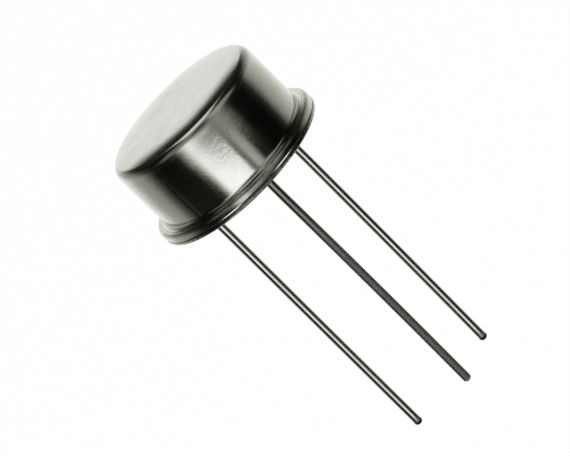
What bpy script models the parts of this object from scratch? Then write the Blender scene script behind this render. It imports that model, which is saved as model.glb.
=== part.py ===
"""A low-profile metal-can thyristor with three wire leads.

A drawn nickel-plated cap is projection-welded to a stamped header. Two leads pass
through the header in glass beads and a third is brazed into it. Inside, the silicon
die is soldered to a molybdenum disc and bonded to the two insulated leads.

Metres, +Z up along the can's axis. The origin is the centre of the seating plane,
which is the underside of the header.
"""
import math

import bmesh
import bpy
from mathutils import Matrix, Vector

# Cap, the drawn cup
CAN_RADIUS = 0.004155
CAN_HEIGHT = 0.004405
CAP_WALL = 0.0002
TOP_FLAT_RADIUS = 0.0022
DOME_SLOPE = math.radians(12)
SHOULDER_RADIUS = 0.00042
FOOT_RADIUS = 0.00016
INNER_FOOT_RADIUS = 0.0003
RIM_WIDTH = 0.00051
RIM_THICKNESS = 0.0004
RIM_TOP_ROUNDING = 0.0002
RIM_EDGE_ROUNDING = 0.00006

# Projection weld between the cap's rim and the header's flange
WELD_PROJECTION = 0.00004
WELD_WIDTH = 0.00014

# Header, the stamped base
HEADER_FLANGE_THICKNESS = 0.0002
HEADER_EDGE_ROUNDING = 0.00008
PLATFORM_HEIGHT = 0.001
PLATFORM_CLEARANCE = 0.00015
PLATFORM_EDGE_ROUNDING = 0.00012
TAB_WIDTH = 0.0008
TAB_LENGTH = 0.0009
TAB_CORNER_RADIUS = 0.00015
TAB_ANGLE = math.radians(45)

# Leads, on three of the four quarter places of a 5.08 mm circle
LEAD_CIRCLE_RADIUS = 0.00254
LEAD_RADIUS = 0.000205
LEAD_TIP_ROUNDING = 0.00013
CATHODE_LEAD_LENGTH = 0.01455
GATE_LEAD_LENGTH = 0.01425
ANODE_LEAD_LENGTH = 0.0148
CATHODE_ANGLE = math.radians(0)
GATE_ANGLE = math.radians(-90)
ANODE_ANGLE = math.radians(180)
POST_STANDOUT = 0.00045
POST_HEAD_RADIUS = 0.00034
POST_HEAD_THICKNESS = 0.00012

# Glass beads and the brazed socket
SEAL_RADIUS = 0.00078
SEAL_RECESS = 0.00005
SEAL_MENISCUS = 0.00006
SOCKET_DEPTH = 0.0006
BRAZE_RADIUS = 0.00042
BRAZE_DEPTH = 0.00012
BRAZE_MENISCUS = 0.00005

# Die stack on the platform
SPREADER_RADIUS = 0.0016
SPREADER_THICKNESS = 0.0003
SPREADER_CHAMFER = 0.00004
SOLDER_THICKNESS = 0.00004
DIE_SIDE = 0.0019
DIE_THICKNESS = 0.00024
DIE_MESA_INSET = 0.00008

# Bond wires
CATHODE_WIRE_RADIUS = 0.0001
GATE_WIRE_RADIUS = 0.00006
WIRE_RISE = 0.0005
WIRE_FOOT_LENGTH = 0.0003
WIRE_FOOT_FLATTENING = 0.6
WIRE_FOOT_SPREAD = 0.5
WIRE_FOOT_TAPER = 2.5
CATHODE_PAD_OFFSET = 0.00015
GATE_PAD_OFFSET = 0.0006

# The clearance between seated pieces
SEAT_GAP = 0.00001

# Facets round a full turn and along a quarter arc
CAN_SEGMENTS = 80
LEAD_SEGMENTS = 20
SEAL_SEGMENTS = 32
WIRE_SEGMENTS = 10
WIRE_STEPS = 18
ARC_STEPS = 5
DOME_STEPS = 4
MERGE_DISTANCE = 1e-8
SHARP_ANGLE = math.radians(35)

# Sizes that follow from the ones above
CAP_FOOT_Z = HEADER_FLANGE_THICKNESS + WELD_PROJECTION
RIM_OUTER_RADIUS = CAN_RADIUS + RIM_WIDTH
HEADER_RADIUS = RIM_OUTER_RADIUS
PLATFORM_RADIUS = CAN_RADIUS - CAP_WALL - PLATFORM_CLEARANCE
RIM_CENTRE_R = RIM_OUTER_RADIUS - RIM_TOP_ROUNDING
RIM_CENTRE_Z = CAP_FOOT_Z + RIM_THICKNESS - RIM_TOP_ROUNDING
FOOT_CENTRE_R = CAN_RADIUS + FOOT_RADIUS
FOOT_TO_RIM = FOOT_RADIUS + RIM_TOP_ROUNDING
FOOT_CENTRE_Z = RIM_CENTRE_Z + math.sqrt(FOOT_TO_RIM ** 2 - (RIM_CENTRE_R - FOOT_CENTRE_R) ** 2)
FOOT_SWEEP = math.degrees(math.atan2(FOOT_CENTRE_Z - RIM_CENTRE_Z, RIM_CENTRE_R - FOOT_CENTRE_R))
INNER_FOOT_R = CAN_RADIUS - CAP_WALL + INNER_FOOT_RADIUS
WELD_RADIUS = (INNER_FOOT_R + RIM_OUTER_RADIUS - RIM_EDGE_ROUNDING) / 2
SHOULDER_CENTRE_R = CAN_RADIUS - SHOULDER_RADIUS
DOME_RUN = SHOULDER_CENTRE_R + SHOULDER_RADIUS * math.sin(DOME_SLOPE) - TOP_FLAT_RADIUS
DOME_DROP = DOME_RUN * math.tan(DOME_SLOPE) / 2
SHOULDER_CENTRE_Z = CAN_HEIGHT - DOME_DROP - SHOULDER_RADIUS * math.cos(DOME_SLOPE)
SHOULDER_START = 90 - math.degrees(DOME_SLOPE)
POST_TOP_Z = PLATFORM_HEIGHT + POST_STANDOUT
SPREADER_Z = PLATFORM_HEIGHT + SOLDER_THICKNESS + 2 * SEAT_GAP
DIE_SOLDER_Z = SPREADER_Z + SPREADER_THICKNESS + SEAT_GAP
DIE_Z = DIE_SOLDER_Z + SOLDER_THICKNESS + SEAT_GAP
DIE_TOP_Z = DIE_Z + DIE_THICKNESS


def material(name, colour, roughness, metallic):
    """One Principled BSDF material."""
    mat = bpy.data.materials.new(name)
    mat.use_nodes = True
    shader = mat.node_tree.nodes["Principled BSDF"]
    shader.inputs["Base Color"].default_value = (*colour, 1.0)
    shader.inputs["Roughness"].default_value = roughness
    shader.inputs["Metallic"].default_value = metallic
    return mat


def arc(centre_r, centre_z, radius, start, end, steps=ARC_STEPS):
    """Points of a circular arc in the profile plane, angles in degrees."""
    points = []
    for i in range(steps + 1):
        angle = math.radians(start + (end - start) * i / steps)
        points.append((centre_r + radius * math.cos(angle), centre_z + radius * math.sin(angle)))
    return points


def finish(name, bm, mat, place=None):
    """Turns a bmesh into a named, smooth-shaded object."""
    bmesh.ops.recalc_face_normals(bm, faces=bm.faces)
    mesh = bpy.data.meshes.new(name)
    bm.to_mesh(mesh)
    bm.free()
    mesh.shade_smooth()
    mesh.set_sharp_from_angle(angle=SHARP_ANGLE)
    mesh.materials.append(mat)
    obj = bpy.data.objects.new(name, mesh)
    bpy.context.scene.collection.objects.link(obj)
    if place is not None:
        obj.location = place
    return obj


def turned(name, profile, segments, mat, place=None):
    """Spins a profile of (radius, z) points about Z. A profile that leaves the axis
    and comes back to it is open, and any other is a closed ring."""
    bm = bmesh.new()
    verts = [bm.verts.new((r, 0, z)) for r, z in profile]
    edges = [bm.edges.new(pair) for pair in zip(verts, verts[1:])]
    touches_axis = profile[0][0] == 0 and profile[-1][0] == 0
    if not touches_axis:
        edges.append(bm.edges.new((verts[-1], verts[0])))
    bmesh.ops.spin(bm, geom=verts + edges, cent=(0, 0, 0), axis=(0, 0, 1), dvec=(0, 0, 0),
                   angle=2 * math.pi, steps=segments, use_merge=True, use_duplicate=False)
    bmesh.ops.remove_doubles(bm, verts=bm.verts, dist=MERGE_DISTANCE)
    return finish(name, bm, mat, place)


def slab(name, outline, z_low, z_high, mat):
    """Extrudes a flat outline of (x, y) points from z_low to z_high."""
    bm = bmesh.new()
    face = bm.faces.new([bm.verts.new((x, y, z_low)) for x, y in outline])
    top = bmesh.ops.extrude_face_region(bm, geom=[face])["geom"]
    moved = [v for v in top if isinstance(v, bmesh.types.BMVert)]
    bmesh.ops.translate(bm, verts=moved, vec=(0, 0, z_high - z_low))
    return finish(name, bm, mat)


def combine(target, tool, operation):
    """Adds an exact Boolean of tool to target and hides tool as a guide."""
    modifier = target.modifiers.new(tool.name, "BOOLEAN")
    modifier.operation = operation
    modifier.solver = "EXACT"
    modifier.object = tool
    tool.hide_render = True
    tool.display_type = "WIRE"


def place_on_circle(angle):
    """The lead position at an angle on the lead circle, on the seating plane."""
    return Vector((LEAD_CIRCLE_RADIUS * math.cos(angle), LEAD_CIRCLE_RADIUS * math.sin(angle), 0))


def dome(depth):
    """The curve of the cap's top from its flat to its shoulder, at a depth below the outer face."""
    points = []
    for i in range(DOME_STEPS):
        share = i / DOME_STEPS
        points.append((TOP_FLAT_RADIUS + DOME_RUN * share, CAN_HEIGHT - depth - DOME_DROP * share ** 2))
    return points


def cap_profile():
    """The drawn cup's section: outside from the axis over the shoulder and the foot to
    the rounded rim, then back along the weld face and up inside."""
    edge = RIM_EDGE_ROUNDING
    weld_half = WELD_WIDTH / 2
    weld_z = HEADER_FLANGE_THICKNESS + SEAT_GAP
    points = [(0, CAN_HEIGHT)]
    points += dome(0)
    points += arc(SHOULDER_CENTRE_R, SHOULDER_CENTRE_Z, SHOULDER_RADIUS, SHOULDER_START, 0, ARC_STEPS + 1)
    points += arc(FOOT_CENTRE_R, FOOT_CENTRE_Z, FOOT_RADIUS, 180, 180 + FOOT_SWEEP)
    points += arc(RIM_CENTRE_R, RIM_CENTRE_Z, RIM_TOP_ROUNDING, FOOT_SWEEP, 0)[1:]
    points += arc(RIM_OUTER_RADIUS - edge, CAP_FOOT_Z + edge, edge, 0, -90, 3)
    points += [(WELD_RADIUS + weld_half, CAP_FOOT_Z), (WELD_RADIUS + weld_half / 2, weld_z)]
    points += [(WELD_RADIUS - weld_half / 2, weld_z), (WELD_RADIUS - weld_half, CAP_FOOT_Z)]
    points += arc(INNER_FOOT_R, CAP_FOOT_Z + INNER_FOOT_RADIUS, INNER_FOOT_RADIUS, 270, 180)
    points += arc(SHOULDER_CENTRE_R, SHOULDER_CENTRE_Z, SHOULDER_RADIUS - CAP_WALL, 0, SHOULDER_START)
    points += dome(CAP_WALL)[::-1]
    points += [(0, CAN_HEIGHT - CAP_WALL)]
    return points


def header_profile():
    """The stamped base's section: underside, flange edge and raised platform."""
    edge = HEADER_EDGE_ROUNDING
    brow = PLATFORM_EDGE_ROUNDING
    points = [(0, 0)]
    points += arc(HEADER_RADIUS - edge, edge, edge, -90, 0, 3)
    points += arc(HEADER_RADIUS - edge, HEADER_FLANGE_THICKNESS - edge, edge, 0, 90, 3)
    points += [(PLATFORM_RADIUS, HEADER_FLANGE_THICKNESS)]
    points += arc(PLATFORM_RADIUS - brow, PLATFORM_HEIGHT - brow, brow, 0, 90, 3)
    points += [(0, PLATFORM_HEIGHT)]
    return points


def tab_outline():
    """The index tab's plan along +X, rooted inside the flange, with round corners."""
    root = HEADER_RADIUS - TAB_WIDTH
    tip = HEADER_RADIUS + TAB_LENGTH
    half = TAB_WIDTH / 2
    corner = TAB_CORNER_RADIUS
    points = [(root, -half)]
    points += arc(tip - corner, -half + corner, corner, -90, 0, 4)
    points += arc(tip - corner, half - corner, corner, 0, 90, 4)
    points += [(root, half)]
    return points


def make_cap(mat):
    """The drawn cup with its domed top, flared foot and rounded weld rim."""
    return turned("cap", cap_profile(), CAN_SEGMENTS, mat)


def make_header(mat):
    """The stamped base with its index tab, two seal holes and the anode socket."""
    header = turned("header", header_profile(), CAN_SEGMENTS, mat)
    tab = slab("tab_guide", tab_outline(), 0, HEADER_FLANGE_THICKNESS, mat)
    tab.data.transform(Matrix.Rotation(TAB_ANGLE, 4, "Z"))
    combine(header, tab, "UNION")
    overrun = PLATFORM_HEIGHT / 2
    hole = [(0, -overrun), (SEAL_RADIUS, -overrun)]
    hole += [(SEAL_RADIUS, PLATFORM_HEIGHT + overrun), (0, PLATFORM_HEIGHT + overrun)]
    for name, angle in (("cathode_hole", CATHODE_ANGLE), ("gate_hole", GATE_ANGLE)):
        cutter = turned(name, hole, SEAL_SEGMENTS, mat, place_on_circle(angle))
        combine(header, cutter, "DIFFERENCE")
    bore = LEAD_RADIUS + SEAT_GAP
    socket = [(0, -overrun), (BRAZE_RADIUS, -overrun), (BRAZE_RADIUS, BRAZE_DEPTH)]
    socket += [(bore, BRAZE_DEPTH), (bore, SOCKET_DEPTH + SEAT_GAP), (0, SOCKET_DEPTH + SEAT_GAP)]
    cutter = turned("anode_socket", socket, LEAD_SEGMENTS, mat, place_on_circle(ANODE_ANGLE))
    combine(header, cutter, "DIFFERENCE")
    return header


def bead(name, outer, z_low, z_high, sag_low, sag_high, mat, angle):
    """A ring that fills a hole round a lead, with a hollowed face at each end."""
    inner = LEAD_RADIUS + SEAT_GAP
    rim = outer - SEAT_GAP
    steps = ARC_STEPS + 1
    low = []
    high = []
    for i in range(steps + 1):
        share = i / steps
        radius = inner + (rim - inner) * share
        hollow = math.sin(math.pi * share)
        low.append((radius, z_low + sag_low * hollow))
        high.append((radius, z_high - sag_high * hollow))
    return turned(name, low + high[::-1], SEAL_SEGMENTS, mat, place_on_circle(angle))


def lead(name, length, top_z, head, mat, angle):
    """A round wire lead, rounded at its tip, with or without a nail head on top."""
    tip = LEAD_TIP_ROUNDING
    points = [(0, -length)]
    points += arc(LEAD_RADIUS - tip, -length + tip, tip, -90, 0, ARC_STEPS - 1)
    if head:
        points += [(LEAD_RADIUS, top_z - POST_HEAD_THICKNESS)]
        points += [(POST_HEAD_RADIUS, top_z - POST_HEAD_THICKNESS / 2)]
        points += [(POST_HEAD_RADIUS, top_z), (0, top_z)]
    else:
        points += [(LEAD_RADIUS, top_z), (0, top_z)]
    return turned(name, points, LEAD_SEGMENTS, mat, place_on_circle(angle))


def disc(name, radius, thickness, z_low, chamfer, mat):
    """A flat round piece on the platform's centre."""
    z_high = z_low + thickness
    points = [(0, z_low), (radius - chamfer, z_low), (radius, z_low + chamfer)]
    points += [(radius, z_high - chamfer), (radius - chamfer, z_high), (0, z_high)]
    return turned(name, points, SEAL_SEGMENTS, mat)


def square(side):
    """The corners of a centred square."""
    half = side / 2
    return [(-half, -half), (half, -half), (half, half), (-half, half)]


def make_die(mat):
    """The silicon die, with its top edges etched back to a mesa."""
    die = slab("die", square(DIE_SIDE), DIE_Z, DIE_TOP_Z, mat)
    shrink = (DIE_SIDE - 2 * DIE_MESA_INSET) / DIE_SIDE
    for vert in die.data.vertices:
        if vert.co.z > (DIE_Z + DIE_TOP_Z) / 2:
            vert.co.x *= shrink
            vert.co.y *= shrink
    return die


def bond_wire(name, start, end, radius, mat):
    """An aluminium bond wire: a flattened foot at each end and a round arch between.
    Start and end are the middles of the feet, on the faces that they are bonded to."""
    run = Vector((end.x - start.x, end.y - start.y, 0))
    span = run.length
    along = run.normalized()
    across = Vector((0, 0, 1)).cross(along)
    foot = WIRE_FOOT_LENGTH / 2
    flat = 1 - WIRE_FOOT_FLATTENING
    centres = []
    shapes = []
    for i in range(WIRE_STEPS + 1):
        share = i / WIRE_STEPS
        distance = -foot + (span + WIRE_FOOT_LENGTH) * share
        inside = min(max((distance - foot) / (span - WIRE_FOOT_LENGTH), 0), 1)
        arch = math.sin(math.pi * inside)
        squeeze = flat + (1 - flat) * min(1, arch * WIRE_FOOT_TAPER)
        base = start.z + (end.z - start.z) * inside
        height = base + SEAT_GAP + radius * squeeze + WIRE_RISE * arch
        centre = start + along * distance
        centre.z = height
        centres.append(centre)
        shapes.append((radius * (1 + (1 - squeeze) * WIRE_FOOT_SPREAD), radius * squeeze))
    bm = bmesh.new()
    rings = []
    for i, centre in enumerate(centres):
        ahead = centres[min(i + 1, WIRE_STEPS)]
        behind = centres[max(i - 1, 0)]
        tangent = (ahead - behind).normalized()
        upward = tangent.cross(across).normalized()
        wide, tall = shapes[i]
        ring = []
        for k in range(WIRE_SEGMENTS):
            turn = 2 * math.pi * k / WIRE_SEGMENTS
            offset = across * wide * math.cos(turn) + upward * tall * math.sin(turn)
            ring.append(bm.verts.new(centre + offset))
        rings.append(ring)
    for near, far in zip(rings, rings[1:]):
        for k in range(WIRE_SEGMENTS):
            other = (k + 1) % WIRE_SEGMENTS
            bm.faces.new((near[k], near[other], far[other], far[k]))
    bm.faces.new(rings[0])
    bm.faces.new(rings[-1])
    return finish(name, bm, mat)


def make_wires(mat):
    """The cathode wire and the thinner gate wire, each from its pad to its post."""
    cathode_post = place_on_circle(CATHODE_ANGLE)
    cathode_post.z = POST_TOP_Z
    gate_post = place_on_circle(GATE_ANGLE)
    gate_post.z = POST_TOP_Z
    cathode_pad = Vector((CATHODE_PAD_OFFSET, CATHODE_PAD_OFFSET, DIE_TOP_Z))
    gate_pad = Vector((0, -GATE_PAD_OFFSET, DIE_TOP_Z))
    bond_wire("cathode_wire", cathode_pad, cathode_post, CATHODE_WIRE_RADIUS, mat)
    bond_wire("gate_wire", gate_pad, gate_post, GATE_WIRE_RADIUS, mat)


def build():
    """Clears the scene and makes every piece."""
    for obj in list(bpy.data.objects):
        bpy.data.objects.remove(obj)
    nickel = material("nickel_plate", (0.66, 0.65, 0.62), 0.28, 1.0)
    base_plate = material("header_plate", (0.62, 0.61, 0.57), 0.32, 1.0)
    wire_plate = material("lead_plate", (0.6, 0.59, 0.55), 0.3, 1.0)
    glass = material("seal_glass", (0.16, 0.2, 0.19), 0.12, 0.0)
    braze = material("braze", (0.72, 0.66, 0.55), 0.4, 1.0)
    molybdenum = material("molybdenum", (0.5, 0.5, 0.52), 0.4, 1.0)
    solder = material("soft_solder", (0.55, 0.55, 0.57), 0.45, 1.0)
    silicon = material("silicon", (0.2, 0.21, 0.25), 0.15, 0.6)
    aluminium = material("bond_aluminium", (0.8, 0.8, 0.82), 0.3, 1.0)

    make_cap(nickel)
    make_header(base_plate)
    seal_low = SEAL_RECESS
    seal_high = PLATFORM_HEIGHT - SEAL_RECESS
    for name, angle in (("cathode_seal", CATHODE_ANGLE), ("gate_seal", GATE_ANGLE)):
        bead(name, SEAL_RADIUS, seal_low, seal_high, SEAL_MENISCUS, SEAL_MENISCUS, glass, angle)
    bead("anode_braze", BRAZE_RADIUS, 0, BRAZE_DEPTH - SEAT_GAP, BRAZE_MENISCUS, 0, braze, ANODE_ANGLE)
    lead("cathode_lead", CATHODE_LEAD_LENGTH, POST_TOP_Z, True, wire_plate, CATHODE_ANGLE)
    lead("gate_lead", GATE_LEAD_LENGTH, POST_TOP_Z, True, wire_plate, GATE_ANGLE)
    lead("anode_lead", ANODE_LEAD_LENGTH, SOCKET_DEPTH, False, wire_plate, ANODE_ANGLE)
    disc("spreader_solder", SPREADER_RADIUS, SOLDER_THICKNESS, PLATFORM_HEIGHT + SEAT_GAP,
         SOLDER_THICKNESS / 4, solder)
    disc("heat_spreader", SPREADER_RADIUS, SPREADER_THICKNESS, SPREADER_Z, SPREADER_CHAMFER, molybdenum)
    slab("die_solder", square(DIE_SIDE), DIE_SOLDER_Z, DIE_SOLDER_Z + SOLDER_THICKNESS, solder)
    make_die(silicon)
    make_wires(aluminium)


build()
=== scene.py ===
import math

import bmesh
import bpy
from mathutils import Matrix, Vector, noise


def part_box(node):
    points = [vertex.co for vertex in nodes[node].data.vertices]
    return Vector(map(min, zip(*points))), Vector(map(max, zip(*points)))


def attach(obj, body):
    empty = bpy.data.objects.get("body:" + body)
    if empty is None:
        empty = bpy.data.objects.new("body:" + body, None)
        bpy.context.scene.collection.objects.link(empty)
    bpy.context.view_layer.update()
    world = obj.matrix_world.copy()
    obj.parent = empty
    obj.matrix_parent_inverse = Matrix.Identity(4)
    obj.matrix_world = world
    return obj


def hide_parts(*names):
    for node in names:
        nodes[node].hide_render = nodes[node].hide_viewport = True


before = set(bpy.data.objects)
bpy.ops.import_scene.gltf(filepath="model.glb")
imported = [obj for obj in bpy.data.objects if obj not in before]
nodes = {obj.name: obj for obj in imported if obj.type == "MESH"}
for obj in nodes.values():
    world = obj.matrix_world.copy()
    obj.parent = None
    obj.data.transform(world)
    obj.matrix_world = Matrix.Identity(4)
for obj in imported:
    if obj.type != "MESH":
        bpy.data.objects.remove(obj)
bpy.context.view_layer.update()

scene = bpy.context.scene

# The camera. A long lens, 200 mm from the can, 12 degrees to the left of the middle lead and
# 18 degrees above the rim, rolled so that the can's axis runs down the picture's diagonal. It looks
# at a point a little below the seating plane.
CAMERA_TURN = math.radians(12.24)
CAMERA_RISE = math.radians(18.186)
CAMERA_ROLL = math.radians(45.407)
CAMERA_DISTANCE = 0.2
AIM_RIGHT = -0.0004547
AIM_UP = -0.0033074
LENS = 275.43
SENSOR_WIDTH = 36

level_right = Vector((math.cos(CAMERA_TURN), -math.sin(CAMERA_TURN), 0))
to_camera = Vector((
    -math.sin(CAMERA_TURN) * math.cos(CAMERA_RISE),
    -math.cos(CAMERA_TURN) * math.cos(CAMERA_RISE),
    math.sin(CAMERA_RISE),
))
level_up = to_camera.cross(level_right)
picture_right = level_right * math.cos(CAMERA_ROLL) - level_up * math.sin(CAMERA_ROLL)
picture_up = level_right * math.sin(CAMERA_ROLL) + level_up * math.cos(CAMERA_ROLL)
camera_data = bpy.data.cameras.new("camera")
camera_data.sensor_width = SENSOR_WIDTH
camera_data.lens = LENS
camera_data.clip_start = 0.01
camera_data.clip_end = 20
camera = bpy.data.objects.new("camera", camera_data)
turned_camera = Matrix((picture_right, picture_up, to_camera)).transposed().to_4x4()
camera_place = level_right * AIM_RIGHT + level_up * AIM_UP + to_camera * CAMERA_DISTANCE
camera.matrix_world = Matrix.Translation(camera_place) @ turned_camera
scene.collection.objects.link(camera)
scene.camera = camera
scene.view_settings.view_transform = "Standard"


# The floor and the room. A plain white floor well below the lead tips, so that the can's soft shadow
# falls clear of it, in a plain white room with one soft lamp. Metal and glass see the same white.
FLOOR_DROP = 0.09
FLOOR_HALF = 3.0
FLOOR_WHITE = 0.86
SHADOW_KEPT = 0.16
FLOOR_GLOW = 1.05
ROOM_LIGHT = 0.8
LAMP_POWER = 0.05
LAMP_SIZE = 0.16
LAMP_PLACE = (-0.08, -0.1, 0.22)


def finish_step(recipe, kind, settings=(), **feeds):
    """Adds one step to a finish: its settings, then its inputs, which are numbers or what other steps
    give out. An input goes by its name, or by its number as i0, i1 and so on."""
    step = recipe.nodes.new(kind)
    for name, value in dict(settings).items():
        setattr(step, name, value)
    for name, value in feeds.items():
        socket = step.inputs[int(name[1:])] if name[1:].isdigit() else step.inputs[name.replace("_", " ")]
        if isinstance(value, bpy.types.NodeSocket):
            recipe.links.new(value, socket)
        else:
            socket.default_value = value
    return step


def worked_out(recipe, operation, *numbers):
    """A number worked out from one or two others, or from more of them in turn."""
    result = numbers[0]
    for other in numbers[1:] or (0.0,):
        step = finish_step(recipe, "ShaderNodeMath", {"operation": operation}, i0=result, i1=other)
        result = step.outputs[0]
    return result


def even_step(recipe, value, start, end, before=0.0, after=1.0):
    """An even change from one number to another between two places."""
    return finish_step(recipe, "ShaderNodeMapRange", i0=value, i1=start, i2=end, i3=before,
                       i4=after).outputs[0]


def seen_directly_or_mirrored(recipe):
    """1 for rays from the camera, in a mirror or through glass, and 0 for the rays that light things."""
    path = finish_step(recipe, "ShaderNodeLightPath")
    return worked_out(recipe, "MAXIMUM", path.outputs["Is Camera Ray"], path.outputs["Is Glossy Ray"],
                      path.outputs["Is Transmission Ray"])


room = bpy.data.worlds.new("white_room")
room.use_nodes = True
scene.world = room
room_recipe = room.node_tree
room_recipe.nodes.clear()
room_strength = even_step(room_recipe, seen_directly_or_mirrored(room_recipe), 0.0, 1.0, ROOM_LIGHT, 1.0)
room_white = finish_step(room_recipe, "ShaderNodeBackground", Color=(1, 1, 1, 1), Strength=room_strength)
room_out = finish_step(room_recipe, "ShaderNodeOutputWorld")
room_recipe.links.new(room_white.outputs[0], room_out.inputs["Surface"])

floor_mesh = bpy.data.meshes.new("floor")
floor_mesh.from_pydata([(x * FLOOR_HALF, y * FLOOR_HALF, -FLOOR_DROP)
                        for x, y in ((-1, -1), (1, -1), (1, 1), (-1, 1))], [], [(0, 1, 2, 3)])
floor = bpy.data.objects.new("floor", floor_mesh)
scene.collection.objects.link(floor)
floor_paint = bpy.data.materials.new("floor_white")
floor_paint.use_nodes = True
floor_recipe = floor_paint.node_tree
floor_recipe.nodes.clear()
floor_matt = finish_step(floor_recipe, "ShaderNodeBsdfDiffuse",
                         Color=(FLOOR_WHITE, FLOOR_WHITE, FLOOR_WHITE, 1))
floor_glow = finish_step(floor_recipe, "ShaderNodeEmission", Color=(1, 1, 1, 1), Strength=FLOOR_GLOW)
floor_share = worked_out(floor_recipe, "MULTIPLY", seen_directly_or_mirrored(floor_recipe), 1 - SHADOW_KEPT)
floor_mix = finish_step(floor_recipe, "ShaderNodeMixShader", i0=floor_share,
                        i1=floor_matt.outputs[0], i2=floor_glow.outputs[0])
floor_open = finish_step(floor_recipe, "ShaderNodeBsdfTransparent")
floor_side = finish_step(floor_recipe, "ShaderNodeNewGeometry")
floor_one_way = finish_step(floor_recipe, "ShaderNodeMixShader", i0=floor_side.outputs["Backfacing"],
                            i1=floor_mix.outputs[0], i2=floor_open.outputs[0])
floor_out = finish_step(floor_recipe, "ShaderNodeOutputMaterial")
floor_recipe.links.new(floor_one_way.outputs[0], floor_out.inputs["Surface"])
floor_mesh.materials.append(floor_paint)

lamp_data = bpy.data.lights.new("soft_lamp", "AREA")
lamp_data.energy = LAMP_POWER
lamp_data.size = LAMP_SIZE
lamp = bpy.data.objects.new("soft_lamp", lamp_data)
lamp.location = LAMP_PLACE
lamp.rotation_mode = "QUATERNION"
lamp.rotation_quaternion = Vector(LAMP_PLACE).to_track_quat("Z", "Y")
lamp.visible_glossy = False
scene.collection.objects.link(lamp)


# The reflector tent. Bright metal shows only what stands round it, so the can is lit as metal is: a
# white sweep and a backdrop behind, a white and a grey card in front, dim wings high at both sides, a
# soft light overhead and pale cards below. The metal and the glass see it, and nothing else does.
TENT_RADIUS = 0.17
TENT_RINGS = 32
TENT_SEGMENTS = 96
TENT_FLOOR_GAP = 0.0005
TENT_PEAK = 2.0
TENT_DARK = 0.003
BLUE_IN_DARK = 0.835
BLUE_IN_WHITE = 0.985

# Brightness round the tent, as stops of degrees from the camera's side and brightness.
SWEEP_LOW = ((-180, 1.0), (-150, 0.95), (-138, 0.72), (-126, 0.46), (-106, 0.32), (-96, 0.12),
             (-86, 0.004), (-70, 0.0), (80, 0.0), (90, 0.02), (104, 0.36), (126, 0.62), (152, 0.92),
             (180, 1.0))
SWEEP_HIGH = ((-180, 0.0), (-166, 0.12), (-154, 0.5), (-126, 0.34), (-110, 0.18), (-96, 0.02), (-80, 0.0),
              (80, 0.0), (94, 0.0), (110, 0.18), (126, 0.36), (154, 0.5), (166, 0.12), (180, 0.0))
BACKDROP = ((-180, 0.96), (-168, 0.9), (-154, 0.1), (-150, 0.0), (150, 0.0), (154, 0.1), (168, 0.9),
            (180, 0.96))
FRONT_LOW = ((-180, 0.0), (-84, 0.0), (-81.5, 0.05), (-79, 0.008), (-46, 0.008), (-36, 0.03),
             (-31, 0.48), (-26, 1.32), (-8, 1.44), (4, 1.33), (11, 1.12), (13, 0.14), (18, 0.17),
             (21.5, 0.56), (27, 0.5), (31, 0.28), (34, 0.01), (60, 0.0), (180, 0.0))
FRONT_HIGH = ((-180, 0.0), (-43, 0.0), (-36, 0.4), (-31, 1.0), (-24, 1.3), (-16, 0.95), (-8, 0.54),
              (0, 0.38), (10, 0.28), (17, 0.24), (24, 0.3), (33, 0.33), (40, 0.17), (50, 0.0), (180, 0.0))
WINGS = ((-180, 0.0), (-76, 0.0), (-64, 0.15), (-40, 0.2), (-16, 0.0), (14, 0.0), (28, 0.4), (40, 0.4),
         (52, 0.3), (64, 0.3), (76, 0.0), (180, 0.0))
UNDER = ((-180, 1.0), (-150, 0.9), (-125, 0.02), (125, 0.02), (150, 0.9), (180, 1.0))

# Where a card's soft edge starts and ends, in degrees above the can.
SWEEP_FOOT = (-31, -27)
SWEEP_CHANGE = (-6, 14)
SWEEP_TOP = (12, 36)
BACKDROP_TOP = (28, 39)
BACKDROP_SLOPE = 0.65
FRONT_FOOT = (-31, -25)
FRONT_CHANGE = (-17.1, -14)
FRONT_TOP = (4, 36)
WINGS_FOOT = (6, 30)
WINGS_TOP = (58, 70)

# The overhead light leans towards the back, and two pale cards lie low at both sides of the front.
OVERHEAD_BRIGHTNESS = 0.84
OVERHEAD_LEAN = math.radians(8)
OVERHEAD_EDGE = (10, 31)
OVERHEAD_ENDS = (0.16, 0.3)
CARDS_BRIGHTNESS = 1.6
CARDS_SIDEWAYS = (0.2, 0.27, 0.5, 0.6)
CARDS_TOP = (-36, -30)
CARDS_FRONT = (88, 100)


def soft_step(recipe, value, start, end, before=0.0, after=1.0):
    """A soft change from one number to another between two places."""
    return finish_step(recipe, "ShaderNodeMapRange", {"interpolation_type": "SMOOTHSTEP"}, i0=value,
                       i1=start, i2=end, i3=before, i4=after).outputs[0]


def soft_zone(recipe, value, start, full, still_full, end):
    """1 within a zone and 0 outside it, with a soft change at each side."""
    return worked_out(recipe, "MULTIPLY", soft_step(recipe, value, start, full),
                      soft_step(recipe, value, still_full, end, 1.0, 0.0))


def band_by_angle(recipe, angle, stops):
    """Brightness round the tent, as a share of its peak, from a list of stops."""
    ramp = finish_step(recipe, "ShaderNodeValToRGB", Fac=angle)
    elements = ramp.color_ramp.elements
    elements.remove(elements[1])
    for i, (degrees, brightness) in enumerate(stops):
        place = 0.5 + degrees / 360
        element = elements[0] if i == 0 else elements.new(place)
        element.position = place
        level = brightness / TENT_PEAK
        element.color = (level, level, level, 1)
    return ramp.outputs["Color"]


def band_by_height(recipe, rise, edge, below, above):
    """A soft change across a card's edge, which is given in degrees."""
    return soft_step(recipe, rise, math.radians(edge[0]), math.radians(edge[1]), below, above)


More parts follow.
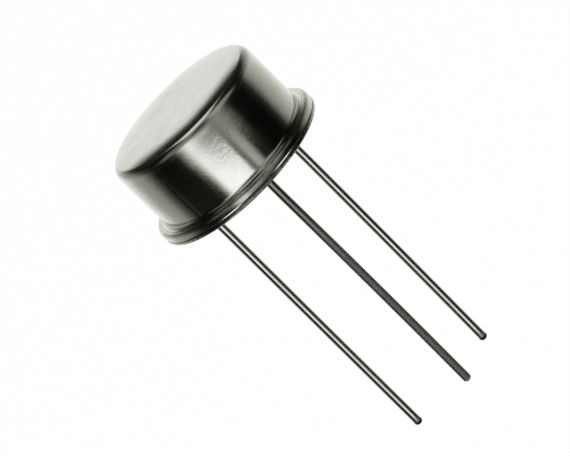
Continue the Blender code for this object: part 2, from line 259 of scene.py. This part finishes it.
def card(recipe, angle, rise, stops, lower_edge, upper_edge, left_above=0.0):
    """A card in the tent, with stops round it, a soft edge below and above, and what is left above it."""
    return worked_out(recipe, "MULTIPLY", band_by_angle(recipe, angle, stops),
                      band_by_height(recipe, rise, lower_edge, 0.0, 1.0),
                      band_by_height(recipe, rise, upper_edge, 1.0, left_above))


def tent_light(recipe):
    """The brightness of the whole tent, as a share of its peak."""
    place = finish_step(recipe, "ShaderNodeTexCoord").outputs["Object"]
    axes = finish_step(recipe, "ShaderNodeSeparateXYZ", i0=place).outputs
    reach = finish_step(recipe, "ShaderNodeVectorMath", {"operation": "LENGTH"}, i0=place).outputs["Value"]
    turn = worked_out(recipe, "ARCTAN2", axes["X"], worked_out(recipe, "MULTIPLY", axes["Y"], -1.0))
    angle = even_step(recipe, turn, -math.pi, math.pi)
    rise = worked_out(recipe, "ARCSINE", worked_out(recipe, "DIVIDE", axes["Z"], reach))
    off_back = worked_out(recipe, "SUBTRACT", math.pi, worked_out(recipe, "ABSOLUTE", turn))

    sweep_low = card(recipe, angle, rise, SWEEP_LOW, SWEEP_FOOT, SWEEP_CHANGE)
    sweep_high = card(recipe, angle, rise, SWEEP_HIGH, SWEEP_CHANGE, SWEEP_TOP, left_above=0.03)
    front_low = card(recipe, angle, rise, FRONT_LOW, FRONT_FOOT, FRONT_CHANGE)
    front_high = card(recipe, angle, rise, FRONT_HIGH, FRONT_CHANGE, FRONT_TOP, left_above=0.2)
    wings = card(recipe, angle, rise, WINGS, WINGS_FOOT, WINGS_TOP)
    sloped_rise = worked_out(recipe, "ADD", rise, worked_out(recipe, "MULTIPLY", off_back, BACKDROP_SLOPE))
    backdrop = worked_out(recipe, "MULTIPLY", band_by_angle(recipe, angle, BACKDROP),
                          band_by_height(recipe, rise, SWEEP_CHANGE, 0.0, 1.0),
                          band_by_height(recipe, sloped_rise, BACKDROP_TOP, 1.0, 0.01))

    lean = worked_out(recipe, "ARCTAN2", axes["Y"], axes["Z"])
    off_lean = worked_out(recipe, "ABSOLUTE", worked_out(recipe, "SUBTRACT", lean, OVERHEAD_LEAN))
    aside = worked_out(recipe, "DIVIDE", worked_out(recipe, "ABSOLUTE", axes["X"]), reach)
    overhead = worked_out(recipe, "MULTIPLY", OVERHEAD_BRIGHTNESS / TENT_PEAK,
                          band_by_height(recipe, off_lean, OVERHEAD_EDGE, 1.0, 0.0),
                          soft_step(recipe, aside, *OVERHEAD_ENDS, 1.0, 0.0))

    sideways = worked_out(recipe, "MULTIPLY",
                          worked_out(recipe, "POWER", worked_out(recipe, "SINE", turn), 2.0),
                          worked_out(recipe, "COSINE", rise))
    side_cards = worked_out(recipe, "MULTIPLY", CARDS_BRIGHTNESS / TENT_PEAK,
                            soft_zone(recipe, sideways, *CARDS_SIDEWAYS),
                            band_by_height(recipe, rise, CARDS_TOP, 1.0, 0.0),
                            band_by_height(recipe, off_back, CARDS_FRONT, 0.0, 1.0))
    back_card = worked_out(recipe, "MULTIPLY", band_by_angle(recipe, angle, UNDER),
                           band_by_height(recipe, rise, SWEEP_FOOT, 1.0, 0.0))
    under = worked_out(recipe, "MAXIMUM", side_cards, back_card)
    return worked_out(recipe, "ADD", sweep_low, sweep_high, backdrop, front_low, front_high, under,
                      overhead, wings, TENT_DARK / TENT_PEAK)


def tent_shell():
    """A dome of rings from the floor to its peak, closed below by a shallow cone just over the floor."""
    lowest = -math.asin(FLOOR_DROP / TENT_RADIUS)
    points = []
    for ring in range(TENT_RINGS):
        rise = lowest + (math.pi / 2 - lowest) * ring / TENT_RINGS
        for k in range(TENT_SEGMENTS):
            turn = 2 * math.pi * k / TENT_SEGMENTS
            points.append((TENT_RADIUS * math.cos(rise) * math.cos(turn),
                           TENT_RADIUS * math.cos(rise) * math.sin(turn), TENT_RADIUS * math.sin(rise)))
    last_ring = len(points) - TENT_SEGMENTS
    peak = len(points)
    underside = len(points) + 1
    points += [(0, 0, TENT_RADIUS), (0, 0, TENT_FLOOR_GAP - FLOOR_DROP)]
    faces = []
    for k in range(TENT_SEGMENTS):
        after = (k + 1) % TENT_SEGMENTS
        for low in range(0, last_ring, TENT_SEGMENTS):
            high = low + TENT_SEGMENTS
            faces.append((low + k, high + k, high + after, low + after))
        faces.append((last_ring + k, peak, last_ring + after))
        faces.append((k, after, underside))
    mesh = bpy.data.meshes.new("reflector_tent")
    mesh.from_pydata(points, [], faces)
    return mesh


tent_mesh = tent_shell()
tent = bpy.data.objects.new("reflector_tent", tent_mesh)
tent.rotation_euler.z = -CAMERA_TURN
tent.visible_camera = False
tent.visible_diffuse = False
tent.visible_shadow = False
scene.collection.objects.link(tent)
tent_cloth = bpy.data.materials.new("tent_cloth")
tent_cloth.use_nodes = True
tent_recipe = tent_cloth.node_tree
tent_recipe.nodes.clear()
tent_level = tent_light(tent_recipe)
tent_blue_share = finish_step(tent_recipe, "ShaderNodeMapRange", {"clamp": False}, i0=tent_level,
                              i2=1 / TENT_PEAK, i3=BLUE_IN_DARK, i4=BLUE_IN_WHITE)
tent_blue = worked_out(tent_recipe, "MULTIPLY", tent_level, tent_blue_share.outputs[0])
tent_colour = finish_step(tent_recipe, "ShaderNodeCombineColor", i0=tent_level, i1=tent_level, i2=tent_blue)
tent_glow = finish_step(tent_recipe, "ShaderNodeEmission", Color=tent_colour.outputs[0], Strength=TENT_PEAK)
tent_out = finish_step(tent_recipe, "ShaderNodeOutputMaterial")
tent_recipe.links.new(tent_glow.outputs[0], tent_out.inputs["Surface"])
tent_mesh.materials.append(tent_cloth)


# The header, the stamped base. A thin nickel-plated steel flange with an index tab, and a raised
# platform inside the cap. Two holes take the glass seals and a blind socket takes the anode lead.
HEADER_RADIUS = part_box("header")[1][0]
CUT_EDGE_R = (HEADER_RADIUS - 0.00008, HEADER_RADIUS - 0.00002)
DULL_EDGE = (0.13, 0.125, 0.11)
HANDLED_TURN = math.radians(12)
HANDLED_FROM = 0.0026
HANDLED_FULLY = 0.0042
PIT_COLOUR = (0.2, 0.19, 0.17)
PIT_EDGE = (0.05, 0.14)
PIT_STRENGTH = 0.75
PITS_FROM = 0.62
PITS_FULLY = 0.66


def bare_metal(name):
    """A new metal: its material, recipe and shader, and the place on the piece that its marks follow."""
    metal = bpy.data.materials.new(name)
    metal.use_nodes = True
    recipe = metal.node_tree
    shader = recipe.nodes["Principled BSDF"]
    shader.inputs["Metallic"].default_value = 1.0
    return metal, recipe, shader, finish_step(recipe, "ShaderNodeTexCoord").outputs["Object"]


def mottle(recipe, place, scale, detail, roughness=0.5, distortion=0.0):
    """An irregular pattern, finer for a larger scale."""
    return finish_step(recipe, "ShaderNodeTexNoise", Vector=place, Scale=scale, Detail=detail,
                       Roughness=roughness, Distortion=distortion).outputs["Fac"]


def turned_pattern(recipe, place, along_axis=1.0, turned=(0, 0, 0)):
    """Where a pattern lies: turned, and drawn out along the axis, or packed closer for more than 1."""
    return finish_step(recipe, "ShaderNodeMapping", Vector=place, Scale=(1, 1, along_axis),
                       Rotation=turned).outputs[0]


def tinted(recipe, share, surface, colour):
    """Another colour over part of a surface."""
    under = surface if isinstance(surface, bpy.types.NodeSocket) else (*surface, 1)
    return finish_step(recipe, "ShaderNodeMix", {"data_type": "RGBA"}, Factor=share, i6=under,
                       i7=(*colour, 1)).outputs["Result"]


def pitted(recipe, place, surface, share):
    """A few fine pits, with duller metal in them."""
    pits = finish_step(recipe, "ShaderNodeTexVoronoi", Vector=place, Scale=2600.0, Randomness=1.0)
    few = mottle(recipe, place, scale=1500.0, detail=2.0)
    depth = worked_out(recipe, "MULTIPLY", soft_step(recipe, pits.outputs["Distance"], *PIT_EDGE, 1.0, 0.0),
                       soft_step(recipe, few, PITS_FROM - share, PITS_FULLY - share, 0.0, PIT_STRENGTH))
    return tinted(recipe, depth, surface, PIT_COLOUR)


def raised(recipe, pattern, depth, under=None):
    """A pattern as relief of a depth in metres, over any relief under it."""
    relief = finish_step(recipe, "ShaderNodeBump", Strength=1.0, Distance=depth, Height=pattern)
    if under is not None:
        recipe.links.new(under, relief.inputs["Normal"])
    return relief.outputs[0]


def plated_metal(name, colour, dull_colour, roughness, rough_spread, grain, grain_depth, draw_depth=0.0,
                 pit_share=0.0, stain=None):
    """A plated metal: fine grain, patches of duller plating, and where given pits, drawing marks along
    the axis and a stain."""
    metal, recipe, shader, place = bare_metal(name)
    patches = mottle(recipe, place, scale=620.0, detail=4.0, roughness=0.6, distortion=0.4)
    surface = tinted(recipe, even_step(recipe, patches, 0.35, 0.7), colour, dull_colour)
    blur = even_step(recipe, patches, 0.3, 0.7, roughness - rough_spread, roughness + rough_spread)
    recipe.links.new(blur, shader.inputs["Roughness"])
    if pit_share:
        surface = pitted(recipe, place, surface, pit_share)
    if stain:
        surface = stain(recipe, place, surface)
    recipe.links.new(surface, shader.inputs["Base Color"])
    fine = mottle(recipe, place, scale=1 / grain, detail=3.0, roughness=0.6)
    relief = raised(recipe, fine, grain_depth)
    if draw_depth:
        drawn_out = turned_pattern(recipe, place, along_axis=0.06)
        lines = mottle(recipe, drawn_out, scale=7000.0, detail=3.0, roughness=0.65)
        relief = raised(recipe, lines, draw_depth, relief)
    recipe.links.new(relief, shader.inputs["Normal"])
    return metal


def off_axis(recipe, place):
    """How far a point is from the can's axis."""
    flat = finish_step(recipe, "ShaderNodeVectorMath", {"operation": "MULTIPLY"}, i0=place, i1=(1, 1, 0))
    reach = finish_step(recipe, "ShaderNodeVectorMath", {"operation": "LENGTH"}, i0=flat.outputs[0])
    return reach.outputs["Value"]


def handled_front(recipe, place):
    """1 on the side of the flanges that has been handled, which is the gate lead's and a little towards
    the anode lead, and 0 round the rest of them."""
    forward = finish_step(recipe, "ShaderNodeVectorMath", {"operation": "DOT_PRODUCT"}, i0=place,
                          i1=(-math.sin(HANDLED_TURN), -math.cos(HANDLED_TURN), 0))
    return soft_step(recipe, forward.outputs["Value"], HANDLED_FROM, HANDLED_FULLY)


def sheared_edge(recipe, place, surface):
    """The flange's cut edge, where handling has left the thin plating dull."""
    edge = soft_step(recipe, off_axis(recipe, place), *CUT_EDGE_R)
    blotches = mottle(recipe, place, scale=5200.0, detail=3.0)
    share = worked_out(recipe, "MULTIPLY", edge, soft_step(recipe, blotches, 0.3, 0.7, 0.62, 0.95),
                       handled_front(recipe, place))
    return tinted(recipe, share, surface, DULL_EDGE)


header_plating = plated_metal("header_plating", (0.62, 0.61, 0.58), (0.55, 0.54, 0.5), roughness=0.26,
                              rough_spread=0.07, grain=0.00009, grain_depth=0.000004, pit_share=0.06,
                              stain=sheared_edge)
nodes["header"].material_slots[0].material = header_plating


# The two glass seals. Dark green-grey glass beads, fused round the cathode and gate leads in the
# header's holes, each with a hollowed face at both ends.
GLASS_DARK = (0.035, 0.06, 0.055)
GLASS_PALE = (0.12, 0.17, 0.15)
BUBBLE_RELIEF = 0.000003


def seal_glass():
    """Dark glass with fine bubbles and a faint swirl."""
    glass = bpy.data.materials.new("bead_glass")
    glass.use_nodes = True
    recipe = glass.node_tree
    shader = recipe.nodes["Principled BSDF"]
    shader.inputs["Roughness"].default_value = 0.06
    shader.inputs["IOR"].default_value = 1.52
    shader.inputs["Transmission Weight"].default_value = 0.35
    place = finish_step(recipe, "ShaderNodeTexCoord").outputs["Object"]
    swirl = mottle(recipe, place, scale=1800.0, detail=4.0, distortion=1.2)
    recipe.links.new(tinted(recipe, swirl, GLASS_DARK, GLASS_PALE), shader.inputs["Base Color"])
    bubbles = finish_step(recipe, "ShaderNodeTexVoronoi", Vector=place, Scale=16000.0)
    bubble = even_step(recipe, bubbles.outputs["Distance"], 0.1, 0.25, 1.0, 0.0)
    relief = finish_step(recipe, "ShaderNodeBump", Strength=0.6, Distance=BUBBLE_RELIEF, Height=bubble)
    recipe.links.new(relief.outputs[0], shader.inputs["Normal"])
    return glass


bead_glass = seal_glass()
for seal in ("cathode_seal", "gate_seal"):
    nodes[seal].material_slots[0].material = bead_glass


# The anode braze. A ring of silver-coloured braze, run in hot round the third lead, that joins the
# lead to the header's socket.
braze_metal = plated_metal("braze_metal", (0.7, 0.66, 0.57), (0.55, 0.51, 0.43), roughness=0.38,
                           rough_spread=0.1, grain=0.00006, grain_depth=0.000005)
nodes["anode_braze"].material_slots[0].material = braze_metal


# The three leads. Nickel-plated alloy wire, 0.41 mm thick, rounded where it was cut. The cathode and
# gate wires have a nail head inside the can for their bond wires, and the anode's ends in its socket.
# The gate wire is darker and duller, most of all towards its tip, and each wire leans and bows by a
# few hundredths of a millimetre.
LEAD_RADIUS = 0.000205
TIP_ROUNDING = 0.00017
TIP_STEPS = 8
DARK_TIP = (0.035, 0.033, 0.03)
DARK_TIP_BLUR = 0.5
DARK_TIP_SHARE = 0.0165
DARKEST_SHARE = DARK_TIP_SHARE * 0.7
HEAD_RADIUS = 0.00034
HEAD_THICKNESS = 0.00012
HEAD_ROUNDING = 0.00003
HEAD_TAPER = 0.00002
HEAD_STEPS = 4
LEAD_SEGMENTS = 40
LEAD_STEP = 0.0004
ROOT_SHARE = 0.05
# The gate wire's colour is made darker and duller, darkest towards its tip.
GATE_DARKER_COLOUR = (0.26, 0.255, 0.238)
GATE_DARKER_BLUR = 0.55
GATE_DARKEST_Z = -0.0065
GATE_DARKER_END_Z = -0.0015
SHARP_ANGLE = math.radians(35)
ON_AXIS = 1e-9


def corner_arc(centre_r, centre_z, radius, start, end, steps):
    """Points (radius, height) along a rounded corner, angles in degrees."""
    turns = [math.radians(start + (end - start) * i / steps) for i in range(steps + 1)]
    return [(centre_r + radius * math.cos(t), centre_z + radius * math.sin(t)) for t in turns]


def smooth_piece(name, mesh):
    """Makes a mesh a smooth-shaded piece of the part, its sharp edges kept."""
    shell = bmesh.new()
    shell.from_mesh(mesh)
    bmesh.ops.recalc_face_normals(shell, faces=shell.faces)
    shell.to_mesh(mesh)
    shell.free()
    mesh.shade_smooth()
    mesh.set_sharp_from_angle(angle=SHARP_ANGLE)
    piece = bpy.data.objects.new(name, mesh)
    scene.collection.objects.link(piece)
    return piece


def turn_on_axis(name, section, segments, bend, centre=(0, 0)):
    """Spins a section of (radius, height) points into a smooth piece, and bends it. A section that
    starts and ends on the axis is closed by it, and any other closes on itself."""
    points = []
    rows = []
    for radius, height in section:
        if radius < ON_AXIS:
            rows.append([len(points)] * segments)
            points.append(Vector((0, 0, height)))
            continue
        rows.append(list(range(len(points), len(points) + segments)))
        for k in range(segments):
            turn = 2 * math.pi * k / segments
            points.append(Vector((radius * math.cos(turn), radius * math.sin(turn), height)))
    open_ends = section[0][0] < ON_AXIS and section[-1][0] < ON_AXIS
    pairs = list(zip(rows, rows[1:])) + ([] if open_ends else [(rows[-1], rows[0])])
    faces = []
    for upper, lower in pairs:
        for k in range(segments):
            after = (k + 1) % segments
            ring = [upper[k], lower[k], lower[after], upper[after]]
            face = [v for i, v in enumerate(ring) if v != ring[i - 1]]
            if len(face) > 2:
                faces.append(face)
    mesh = bpy.data.meshes.new(name)
    mesh.from_pydata([bend(p) + Vector((*centre, 0)) for p in points], [], faces)
    return smooth_piece(name, mesh)


def lead_wire(name, node, headed, offset, lean, bow):
    """One lead in its packed place, from its rounded tip to its top. Below the can it steps sideways in
    the picture by an offset, then leans and bows, as a wire that has been handled does."""
    low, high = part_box(node)
    centre = ((low[0] + high[0]) / 2, (low[1] + high[1]) / 2)
    length = -low[2]
    top = high[2]
    straight = TIP_ROUNDING - length
    section = [(0, -length)]
    section += corner_arc(LEAD_RADIUS - TIP_ROUNDING, straight, TIP_ROUNDING, -90, 0, TIP_STEPS)
    steps = int(-straight / LEAD_STEP)
    section += [(LEAD_RADIUS, straight * (1 - i / steps)) for i in range(1, steps + 1)]
    if headed:
        neck = top - HEAD_THICKNESS
        section += [(LEAD_RADIUS, neck), (HEAD_RADIUS - HEAD_ROUNDING, neck + HEAD_TAPER)]
        section += corner_arc(HEAD_RADIUS - HEAD_ROUNDING, top - HEAD_ROUNDING, HEAD_ROUNDING, 0, 90,
                              HEAD_STEPS)
    else:
        section += [(LEAD_RADIUS, top)]
    section += [(0, top)]

    def bowed(point):
        share = max(0.0, -point.z) / length
        aside = offset * (1 - math.exp(-share / ROOT_SHARE)) + lean * share + bow * share * share
        return point + level_right * aside

    return turn_on_axis(name, section, LEAD_SEGMENTS, bowed, centre)


def worn(recipe, share, surface, colour, roughness):
    """Duller metal over part of a surface, with its own colour and roughness."""
    blur = recipe.nodes["Principled BSDF"].inputs["Roughness"]
    blurred = finish_step(recipe, "ShaderNodeMix", Factor=share, i2=blur.links[0].from_socket, i3=roughness)
    recipe.links.new(blurred.outputs["Result"], blur)
    return tinted(recipe, share, surface, colour)


def dark_tip(recipe, place, surface):
    """The cut end of a lead, where the wire's own dull alloy shows, over a share of its length."""
    of_length = finish_step(recipe, "ShaderNodeTexCoord").outputs["Generated"]
    along = finish_step(recipe, "ShaderNodeSeparateXYZ", i0=of_length).outputs["Z"]
    share = soft_step(recipe, along, DARKEST_SHARE, DARK_TIP_SHARE, 1.0, 0.0)
    return worn(recipe, share, surface, DARK_TIP, DARK_TIP_BLUR)


def darker_towards_tip(recipe, place, surface):
    """Colour made darker and duller towards the tip, from a little below the can."""
    height = finish_step(recipe, "ShaderNodeSeparateXYZ", i0=place).outputs["Z"]
    share = soft_step(recipe, height, GATE_DARKEST_Z, GATE_DARKER_END_Z, 1.0, 0.0)
    return worn(recipe, share, surface, GATE_DARKER_COLOUR, GATE_DARKER_BLUR)


lead_plating = plated_metal("lead_plating", (0.63, 0.62, 0.59), (0.56, 0.55, 0.52), roughness=0.15,
                            rough_spread=0.04, grain=0.0002, grain_depth=0.000002, draw_depth=0.000001,
                            stain=dark_tip)
# The gate wire gets a darker, duller colour, darkest towards its tip.
dull_plating = plated_metal("dull_lead_plating", (0.3, 0.295, 0.275), (0.25, 0.245, 0.23), roughness=0.26,
                            rough_spread=0.05, grain=0.0002, grain_depth=0.000002, stain=darker_towards_tip)
cathode_piece = lead_wire("cathode_wire_lead", "cathode_lead", headed=True,
                          offset=0.000052, lean=-0.00002, bow=-0.000065)
gate_piece = lead_wire("gate_wire_lead", "gate_lead", headed=True,
                       offset=-0.00004, lean=0.000185, bow=-0.00016)
anode_piece = lead_wire("anode_wire_lead", "anode_lead", headed=False,
                        offset=0.00004, lean=-0.000085, bow=0.00002)
for piece, node, plating in ((cathode_piece, "cathode_lead", lead_plating),
                             (gate_piece, "gate_lead", dull_plating),
                             (anode_piece, "anode_lead", lead_plating)):
    piece.data.materials.append(plating)
    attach(piece, "root")
    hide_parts(node)


# The die stack, inside the can. A molybdenum disc soldered to the platform spreads the heat, and the
# silicon die is soldered on it. None of it shows from outside.
molybdenum = plated_metal("molybdenum_disc", (0.5, 0.5, 0.51), (0.43, 0.43, 0.45), roughness=0.36,
                          rough_spread=0.08, grain=0.00008, grain_depth=0.000004)
solder = plated_metal("soft_solder", (0.6, 0.6, 0.62), (0.48, 0.48, 0.5), roughness=0.4,
                      rough_spread=0.12, grain=0.0001, grain_depth=0.000008)
silicon = plated_metal("silicon_die", (0.2, 0.21, 0.26), (0.26, 0.26, 0.29), roughness=0.14,
                       rough_spread=0.05, grain=0.0003, grain_depth=0.000001)
for layer, metal in (("spreader_solder", solder), ("heat_spreader", molybdenum), ("die_solder", solder),
                     ("die", silicon)):
    nodes[layer].material_slots[0].material = metal


# The bond wires, inside the can. Soft bright aluminium, drawn fine, and pressed flat where each is
# bonded to the die and to the nail head of a lead.
bond_aluminium = plated_metal("bond_aluminium", (0.86, 0.86, 0.87), (0.78, 0.78, 0.8), roughness=0.28,
                              rough_spread=0.06, grain=0.00005, grain_depth=0.000002)
for wire in ("cathode_wire", "gate_wire"):
    nodes[wire].material_slots[0].material = bond_aluminium


# The cap. One cup drawn from 0.2 mm steel and nickel plated, with a slightly domed top, a round
# shoulder and a flared foot. Its flange ends in a round rim with a drawn-in lower edge, and is
# projection-welded to the header.
CAP_RADIUS = 0.004155
CAP_WALL = 0.0002
CAP_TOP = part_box("cap")[1][2]
FLAT_RADIUS = 0.0022
DOME_SLOPE = math.radians(12)
SHOULDER_RADIUS = 0.00042
WALL_SWELL = 0.000024
DENT_DEPTH = 0.0000025
DENT_Z = 0.00364
DENT_HALF = 0.00017
RIM_ROUNDING = 0.0002
RIM_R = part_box("cap")[1][0] - RIM_ROUNDING
RIM_Z = 0.00044
RIM_SIDE_Z = 0.0003
RIM_FOOT_Z = 0.000208
RIM_UNDERCUT = 0.00006
FOOT_RADIUS = 0.00016
INNER_FOOT_RADIUS = 0.0003
TURN_SEGMENTS = 256
FLAT_STEPS = 5
DOME_STEPS = 12
WALL_STEPS = 60
ROUND_STEPS = 16
FOOT_STEPS = 12
INNER_STEPS = 10

# The shoulder starts where the dome has its full slope, and the foot's hollow runs into the rim at
# the groove.
SHOULDER_R = CAP_RADIUS - SHOULDER_RADIUS
DOME_RUN = SHOULDER_R + SHOULDER_RADIUS * math.sin(DOME_SLOPE) - FLAT_RADIUS
SHOULDER_Z = CAP_TOP - math.tan(DOME_SLOPE) * DOME_RUN / 2 - SHOULDER_RADIUS * math.cos(DOME_SLOPE)
FOOT_R = CAP_RADIUS + FOOT_RADIUS
FOOT_Z = RIM_Z + math.sqrt((FOOT_RADIUS + RIM_ROUNDING) ** 2 - (RIM_R - FOOT_R) ** 2)
FOOT_SLOPE = math.degrees(math.atan2(FOOT_Z - RIM_Z, RIM_R - FOOT_R))
GROOVE_R = FOOT_R + FOOT_RADIUS * math.cos(math.radians(FOOT_SLOPE))
GROOVE_HALF = 0.00003

# How far a drawn cup is out of true: a depth, and how many waves there are to a metre.
UNEVENNESS = ((0.0000016, 900), (0.000003, 260))

NICKEL = (0.665, 0.665, 0.63)
WORN_NICKEL = (0.595, 0.595, 0.56)
DULL_RIM = (0.18, 0.175, 0.162)
# Grime and painted shade: a dark ring painted into the groove above the rim, where the crease is shaded.
GROOVE_DIRT_AND_SHADE = (0.1, 0.095, 0.08)
GROOVE_DIRT_AND_SHADE_SHARE = 0.7
CAP_PIT_SHARE = 0.04
SCUFFED_Z = (0.0023, 0.0031, 0.004, 0.00418)
SHOULDER_BAND_Z = (0.0036, 0.0039, 0.00412, 0.00426)
RIM_START = (RIM_R - 0.00006, RIM_R + 0.00002)
RIM_EDGE_Z = (RIM_SIDE_Z - 0.00003, RIM_SIDE_Z - 0.00001)
DULLEST_RIM_Z = (0.00036, 0.0005)
RUBBED_PLACE = (-0.0018, -0.0043, 0.00053)
RUBBED_REACH = (0.00015, 0.00065)
RUBBED_SHARE = 0.3
WALL_BLUR = 0.11
SCUFFED_BLUR = 0.15
SHOULDER_BLUR = 0.045
RIM_BLUR = (0.18, 0.28)
EDGE_BLUR_SHARE = 0.6
GRAIN_TURN = (0.7, 0.5, 0.9)
GRAIN_DEPTH = 0.0000018
SCUFF_DEPTH = 0.000005
SCORE_DEPTH = 0.000006


def cap_section():
    """The cup's section: the outside from the top's centre to the round rim, then back inside."""
    section = [(FLAT_RADIUS * i / FLAT_STEPS, CAP_TOP) for i in range(FLAT_STEPS + 1)]
    for i in range(1, DOME_STEPS + 1):
        run = DOME_RUN * i / DOME_STEPS
        section.append((FLAT_RADIUS + run, CAP_TOP - math.tan(DOME_SLOPE) * run * run / (2 * DOME_RUN)))
    shoulder_start = 90 - math.degrees(DOME_SLOPE)
    section += corner_arc(SHOULDER_R, SHOULDER_Z, SHOULDER_RADIUS, shoulder_start, 0, ROUND_STEPS)[1:]
    middle = (SHOULDER_Z + FOOT_Z) / 2
    for i in range(1, WALL_STEPS):
        height = SHOULDER_Z + (FOOT_Z - SHOULDER_Z) * i / WALL_STEPS
        off_middle = (height - middle) / (SHOULDER_Z - middle)
        dent = DENT_DEPTH * math.exp(-((height - DENT_Z) / DENT_HALF) ** 2)
        section.append((CAP_RADIUS + WALL_SWELL * (1 - off_middle ** 2) - dent, height))
    section += corner_arc(FOOT_R, FOOT_Z, FOOT_RADIUS, 180, 180 + FOOT_SLOPE, FOOT_STEPS)
    section += corner_arc(RIM_R, RIM_Z, RIM_ROUNDING, FOOT_SLOPE, 0, ROUND_STEPS)[1:]
    for i in range(ROUND_STEPS + 1):
        turn = math.radians(90 * i / ROUND_STEPS)
        section.append((RIM_R + RIM_ROUNDING - RIM_UNDERCUT * (1 - math.cos(turn)),
                        RIM_SIDE_Z - (RIM_SIDE_Z - RIM_FOOT_Z) * math.sin(turn)))
    section += corner_arc(CAP_RADIUS - CAP_WALL + INNER_FOOT_RADIUS, RIM_FOOT_Z + INNER_FOOT_RADIUS,
                          INNER_FOOT_RADIUS, 270, 180, FOOT_STEPS)
    section += corner_arc(SHOULDER_R, SHOULDER_Z, SHOULDER_RADIUS - CAP_WALL, 0, shoulder_start, INNER_STEPS)
    section += [(FLAT_RADIUS, CAP_TOP - CAP_WALL), (0, CAP_TOP - CAP_WALL)]
    return section


def drawn_unevenness(point):
    """The few thousandths of a millimetre by which a drawn cup is out of true."""
    radius = math.hypot(point.x, point.y)
    if radius < ON_AXIS:
        return point
    swell = sum(depth * noise.noise(point * waves) for depth, waves in UNEVENNESS)
    out = Vector((point.x / radius, point.y / radius, 0))
    outward = min(1.0, max(0.0, (radius - FLAT_RADIUS) / (CAP_RADIUS - FLAT_RADIUS)))
    return point + out * swell * outward + Vector((0, 0, swell * (1 - outward)))


def rim_dulling(recipe, place, height, rim_side):
    """How dull the rim's side is: most at its lower edge and in blotches, and least where it is rubbed."""
    blotches = mottle(recipe, place, scale=800.0, detail=3.0, roughness=0.6)
    off_rubbed = finish_step(recipe, "ShaderNodeVectorMath", {"operation": "DISTANCE"}, i0=place,
                             i1=RUBBED_PLACE)
    return worked_out(recipe, "MULTIPLY", handled_front(recipe, place), rim_side,
                      worked_out(recipe, "MAXIMUM", soft_step(recipe, height, *DULLEST_RIM_Z, 1.0, 0.0),
                                 soft_step(recipe, blotches, 0.35, 0.65, 1.0, 0.3)),
                      soft_step(recipe, off_rubbed.outputs["Value"], *RUBBED_REACH, RUBBED_SHARE, 1.0))


def drawn_relief(recipe, place, scuffed, rim_side):
    """A fine grain all over, scuffs round the upper wall, and scores down the rim's side."""
    askew = turned_pattern(recipe, place, turned=GRAIN_TURN)
    round_the_wall = turned_pattern(recipe, place, along_axis=2.2, turned=GRAIN_TURN)
    down_the_rim = turned_pattern(recipe, place, along_axis=0.25)
    grain = mottle(recipe, askew, scale=7500.0, detail=1.0, roughness=0.6, distortion=0.8)
    scuffs = mottle(recipe, round_the_wall, scale=1300.0, detail=3.0)
    scores = mottle(recipe, down_the_rim, scale=9000.0, detail=3.0, roughness=0.65)
    relief = raised(recipe, grain, GRAIN_DEPTH)
    relief = raised(recipe, worked_out(recipe, "MULTIPLY", scuffs, scuffed), SCUFF_DEPTH, relief)
    return raised(recipe, worked_out(recipe, "MULTIPLY", scores, rim_side), SCORE_DEPTH, relief)


def drawn_plating():
    """Bright nickel on the drawn cup: near a mirror low on the wall, scuffed higher up, softer round the
    shoulder and on the rim, with grime and painted shade darkening the groove above the rim, dull
    handling and a few pits."""
    plating, recipe, shader, place = bare_metal("cap_plating")
    height = finish_step(recipe, "ShaderNodeSeparateXYZ", i0=place).outputs["Z"]
    away = off_axis(recipe, place)
    patches = mottle(recipe, place, scale=900.0, detail=5.0, roughness=0.62, distortion=0.5)
    scuffed = soft_zone(recipe, height, *SCUFFED_Z)
    on_shoulder = soft_zone(recipe, height, *SHOULDER_BAND_Z)
    in_groove = soft_zone(recipe, away, GROOVE_R - GROOVE_HALF, GROOVE_R, GROOVE_R, GROOVE_R + GROOVE_HALF)
    on_rim = soft_step(recipe, away, *RIM_START)
    above_edge = soft_step(recipe, height, *RIM_EDGE_Z)
    rim_side = worked_out(recipe, "MULTIPLY", on_rim, above_edge)

    surface = tinted(recipe, soft_step(recipe, patches, 0.35, 0.7), NICKEL, WORN_NICKEL)
    surface = pitted(recipe, place, surface, CAP_PIT_SHARE)
    # Painted shade and grime: the groove above the rim is darkened in the colour.
    surface = tinted(recipe, worked_out(recipe, "MULTIPLY", in_groove, GROOVE_DIRT_AND_SHADE_SHARE), surface, GROOVE_DIRT_AND_SHADE)
    surface = tinted(recipe, rim_dulling(recipe, place, height, rim_side), surface, DULL_RIM)
    recipe.links.new(surface, shader.inputs["Base Color"])

    wall_blur = worked_out(recipe, "ADD", soft_step(recipe, scuffed, 0.0, 1.0, WALL_BLUR, SCUFFED_BLUR),
                           worked_out(recipe, "MULTIPLY", on_shoulder, SHOULDER_BLUR))
    rim_blur = worked_out(recipe, "MULTIPLY", soft_step(recipe, patches, 0.3, 0.7, *RIM_BLUR),
                          soft_step(recipe, above_edge, 0.0, 1.0, EDGE_BLUR_SHARE, 1.0))
    blur = finish_step(recipe, "ShaderNodeMix", Factor=on_rim, i2=wall_blur, i3=rim_blur)
    recipe.links.new(blur.outputs["Result"], shader.inputs["Roughness"])
    recipe.links.new(drawn_relief(recipe, place, scuffed, rim_side), shader.inputs["Normal"])
    return plating


cap_piece = turn_on_axis("cap_shell", cap_section(), TURN_SEGMENTS, drawn_unevenness)
cap_piece.data.materials.append(drawn_plating())
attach(cap_piece, "root")
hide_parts("cap")
